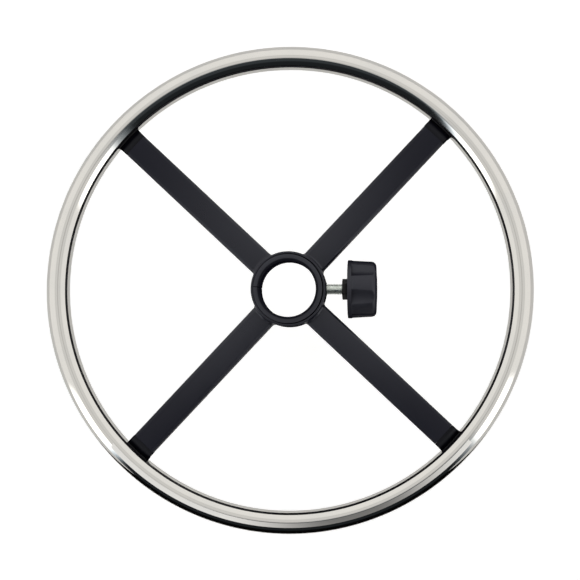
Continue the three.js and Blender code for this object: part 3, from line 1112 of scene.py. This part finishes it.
CAMERA_TILT = 4.4  # degrees off straight down
CAMERA_BEARING = -40.0  # degrees from +X, the side that the camera leans to
CAMERA_DISTANCE = 2.6  # metres
CAMERA_AIM = (0.0009, -0.0005, 0.0)  # metres, a little off the ring's centre
FRAME_WIDTH = 0.5432  # metres across the picture at the ring
SENSOR_WIDTH = 36.0
FLOOR_HEIGHT = -0.25  # metres; the ring hangs above the floor, as it does on its column
CARD_RADIUS = 300  # the black card, the post and the stand are in millimetres
CARD_FOOT, CARD_TOP = -95, 12
POST_RADIUS, POST_TIP_RADIUS = 27, 19
POST_HEIGHT = 38
STAND_FOOT = -52


def camera():
    """Looks straight down but for a small lean, with no depth of field."""
    data = bpy.data.cameras.new("camera")
    data.sensor_width = SENSOR_WIDTH
    data.lens = SENSOR_WIDTH * CAMERA_DISTANCE / FRAME_WIDTH
    data.clip_start, data.clip_end = 0.1, 100.0
    obj = bpy.data.objects.new("camera", data)
    bpy.context.scene.collection.objects.link(obj)
    tilt, bearing = math.radians(CAMERA_TILT), math.radians(CAMERA_BEARING)
    back = Vector((
        math.sin(tilt) * math.cos(bearing),
        math.sin(tilt) * math.sin(bearing),
        math.cos(tilt),
    ))
    up = (Vector((0, 1, 0)) - back * back.y).normalized()
    turn = Matrix((up.cross(back), up, back)).transposed()
    place = Vector(CAMERA_AIM) + back * CAMERA_DISTANCE
    obj.matrix_world = Matrix.Translation(place) @ turn.to_4x4()
    bpy.context.scene.camera = obj


def floor():
    """A plain pale floor that the camera sees as white, and reflections as it is lit."""
    bm = bmesh.new()
    bmesh.ops.create_circle(bm, cap_ends=True, segments=128, radius=14000)
    obj = mesh_object("studio_floor", bm)
    obj.location.z = FLOOR_HEIGHT
    material, shader = new_material("studio_floor")
    place = shader.node("ShaderNodeTexCoord").outputs["Object"]
    paper = shader.noise(place, 900.0, 2.0)
    to_camera = shader.node("ShaderNodeLightPath").outputs["Is Camera Ray"]
    shader.surface(
        Base_Color=(0.86, 0.86, 0.86),
        Roughness=shader.window(paper, 0.3, 0.7, 0.8, 0.9),
        Specular_IOR_Level=0.1,
        Emission_Color=(1.0, 1.0, 1.0),
        Emission_Strength=shader.product(to_camera, 0.4),
    )
    obj.data.materials.append(material)


def reflected_only(obj, material):
    """Puts a studio card where only glossy reflections see it."""
    obj.data.materials.append(material)
    obj.visible_camera = False
    obj.visible_diffuse = False
    obj.visible_shadow = False


def black_cards():
    """A curved black card round the ring's -Y side, and black posts over and under the bore."""
    material, shader = new_material("black_card")
    shader.surface(Base_Color=(0.003, 0.003, 0.003), Roughness=1.0, Specular_IOR_Level=0.0)
    rings = []
    inside, outside = CARD_RADIUS, CARD_RADIUS + 2
    for bearing in range(-56, 57):
        angle = math.radians(bearing - 90)
        taper = min(max((abs(bearing) - 40) / 16, 0), 0.99)
        top = CARD_TOP + (CARD_FOOT - CARD_TOP) * taper
        section = ((inside, CARD_FOOT), (outside, CARD_FOOT), (outside, top), (inside, top))
        rings.append([(r * math.cos(angle), r * math.sin(angle), z) for r, z in section])
    reflected_only(loft("black_card", rings), material)

    foot, tip = collar_top + 1, collar_top + POST_HEIGHT
    outline = [(foot, 0), (foot, POST_RADIUS), (tip, POST_TIP_RADIUS), (tip, 0)]
    reflected_only(turned("black_post", outline, 64), material)
    outline = [(STAND_FOOT, 0), (STAND_FOOT, POST_RADIUS), (-foot, POST_RADIUS), (-foot, 0)]
    reflected_only(turned("black_stand", outline, 64), material)


def fill_card():
    """A low reflector that follows the ring's -Y edge, dimmest a little to the +X side."""
    material, shader = new_material("fill_card")
    place = shader.node("ShaderNodeTexCoord").outputs["Object"]
    axes = shader.node("ShaderNodeSeparateXYZ", Vector=place)
    x, y = axes.outputs[0], axes.outputs[1]
    bearing = shader.math("DEGREES", shader.math("ARCTAN2", x, shader.product(y, -1.0)))
    off = shader.math("ABSOLUTE", shader.math("SUBTRACT", bearing, 16.0))
    shader.surface(
        Base_Color=(0.0, 0.0, 0.0),
        Emission_Color=(1.0, 1.0, 1.0),
        Emission_Strength=shader.window(off, 4, 34, 0.22, 1.0),
    )
    outline = arc((0, 0), 228, -140, -40, 50) + arc((0, 0), 318, -40, -140, 50)
    card = prism(outline, 78, 79, "Z")
    card.name = "fill_card"
    reflected_only(card, material)


def overhead_spot(shader, height):
    """Dims the top of the tent: a disc with a darker middle and a darker rim."""
    off_centre = shader.math("SUBTRACT", 90.0, height)
    disc = shader.window(off_centre, 24, 28, 0.84, 1.0)
    middle = shader.window(off_centre, 3, 7, 0.74, 1.0)
    rim = shader.math(
        "ADD",
        shader.window(off_centre, 21, 24, 1.0, 0.86),
        shader.window(off_centre, 24, 28, 0.0, 0.14),
    )
    return shader.product(disc, middle, rim)


def dark_gap(shader, bearing, height):
    """How far the tent is open: nearly 1 in a gap on its -Y side, and 0 elsewhere."""
    sides = shader.product(shader.window(bearing, 56, 42), shader.window(bearing, -60, -46))
    depth = shader.math(
        "ADD",
        shader.window(height, 90, 84, 0.0, 0.93),
        shader.window(height, 66, 50, 0.0, 0.05),
    )
    return shader.product(sides, depth)


def strip_lights(shader, bearing, height):
    """The light of two upright strips, one at each side of the gap."""
    side = shader.math("ABSOLUTE", bearing)
    sides = shader.product(shader.window(side, 48, 55), shader.window(side, 72, 66))
    ends = shader.product(shader.window(height, 62, 54), shader.window(height, -18, -10))
    return shader.product(sides, ends, 1.6)


def studio_light():
    """A bright tent that the camera sees as plain white.

    Bearings are degrees from -Y towards +X, and heights are degrees above the horizon.
    """
    world = bpy.data.worlds.new("studio")
    bpy.context.scene.world = world
    shader = Shader(world)
    way = shader.node("ShaderNodeTexCoord").outputs["Generated"]
    axes = shader.node("ShaderNodeSeparateXYZ", Vector=way)
    x, y, z = axes.outputs[0], axes.outputs[1], axes.outputs[2]
    bearing = shader.math("DEGREES", shader.math("ARCTAN2", x, shader.product(y, -1.0)))
    height = shader.math("DEGREES", shader.math("ARCSINE", z))

    tent = shader.window(height, 62, 50, 0.98, 1.02)
    gap = dark_gap(shader, bearing, height)
    closed = shader.math("SUBTRACT", 1.0, gap)
    light = shader.math(
        "ADD",
        shader.product(tent, overhead_spot(shader, height), closed),
        strip_lights(shader, bearing, height),
    )
    to_camera = shader.node("ShaderNodeLightPath").outputs["Is Camera Ray"]
    to_others = shader.math("SUBTRACT", 1.0, to_camera)
    strength = shader.math("ADD", shader.product(light, to_others), to_camera)
    colour = shader.mix(gap, (1.0, 0.99, 0.97), (0.75, 0.88, 1.0))
    background = shader.node("ShaderNodeBackground", Color=colour, Strength=strength)
    shader.node("ShaderNodeOutputWorld", Surface=background.outputs[0])
    bpy.context.scene.view_settings.view_transform = "Standard"


# ------------------------------------------------------------------ build

camera()
floor()
black_cards()
fill_card()
studio_light()

coat = powder_coat()
nylon = moulded_plastic(
    "saddle_nylon",
    dark=(0.001, 0.001, 0.002),
    light=(0.003, 0.003, 0.005),
    roughness=0.36,
    grain_size=0.9,
    grain_depth=0.010,
    gloss=(0.02, 0.3, 0.2),
)
bush_nylon = moulded_plastic(
    "bush_nylon",
    dark=(0.007, 0.007, 0.013),
    light=(0.011, 0.011, 0.018),
    roughness=0.42,
    grain_size=0.5,
    grain_depth=0.008,
    gloss=(0.12, 0.45, 0.68),
)
knob_plastic = moulded_plastic(
    "knob_plastic",
    dark=(0.011, 0.011, 0.017),
    light=(0.016, 0.016, 0.023),
    roughness=0.5,
    grain_size=0.32,
    grain_depth=0.012,
    gloss=(0.25, 0.65, 0.5),
)
zinc = plated_metal(
    "zinc_plate",
    bright=(0.88, 0.92, 0.88),
    dull=(0.80, 0.84, 0.79),
    roughness=0.27,
    scratch_scale=500.0,
)
brass = plated_metal(
    "pad_brass",
    bright=(0.72, 0.55, 0.28),
    dull=(0.55, 0.40, 0.19),
    roughness=0.30,
    scratch_scale=700.0,
)
steel = black_steel()

ring_tube(chrome())
arms(coat, nylon, steel, zinc)
collar(coat)
bush(bush_nylon)
weld_nut(coat)
pad(brass)
threaded_screw(zinc)
thin_nut(steel)
knob(knob_plastic)
cap(knob_plastic)
